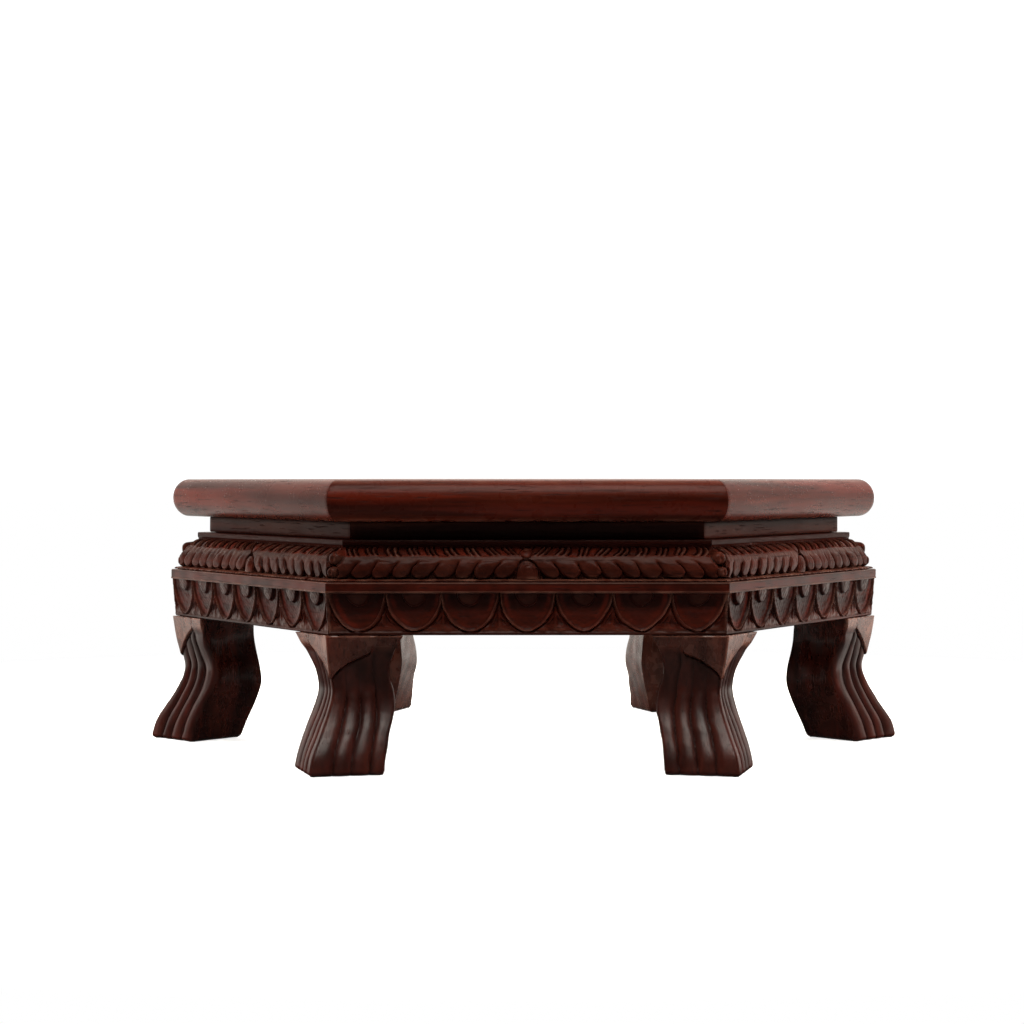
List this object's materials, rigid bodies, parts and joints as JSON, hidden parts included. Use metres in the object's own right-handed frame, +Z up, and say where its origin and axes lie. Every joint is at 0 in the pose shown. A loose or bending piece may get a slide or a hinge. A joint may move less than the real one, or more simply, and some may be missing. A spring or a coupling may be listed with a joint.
{
  "type": "low carved table",
  "caption": "Low hexagonal hardwood table: mitred frame and floating panel, recessed waist, leaf-carved collar, petal-carved aprons and fluted cabriole legs.",
  "frame": {"origin": "on the floor, under the middle of the table", "axes": "+Z up; +X along the long diagonal, from the left leg to the right leg; -Y the way the front side faces"},
  "size_m": [0.4906, 0.425, 0.17],
  "materials": {
    "top": "dark red-brown stain under gloss lacquer, with open pores along each edge",
    "waist": "dark stain with plain visible grain, satin lacquer",
    "collar": "carved leaves, dark red-brown stain, gloss lacquer, darker in the hollows",
    "apron": "carved petals, dark red-brown stain, gloss lacquer, darker in the hollows",
    "legs": "fluted, dark red-brown stain, gloss lacquer, worn on the ridges",
    "battens": "dark stained, unpolished"
  },
  "bodies": {
    "root": {"top_frame_front": "top", "top_frame_front_right": "top", "top_frame_back_right": "top", "top_frame_back": "top", "top_frame_back_left": "top", "top_frame_front_left": "top", "top_panel": "top", "waist_front": "waist", "waist_front_right": "waist", "waist_back_right": "waist", "waist_back": "waist", "waist_back_left": "waist", "waist_front_left": "waist", "collar_front": "collar", "collar_front_right": "collar", "collar_back_right": "collar", "collar_back": "collar", "collar_back_left": "collar", "collar_front_left": "collar", "apron_front": "apron", "apron_front_right": "apron", "apron_back_right": "apron", "apron_back": "apron", "apron_back_left": "apron", "apron_front_left": "apron", "leg_front_right": "legs", "leg_right": "legs", "leg_back_right": "legs", "leg_back_left": "legs", "leg_left": "legs", "leg_front_left": "legs", "batten_left": "battens", "batten_right": "battens"}
  },
  "joints": []
}
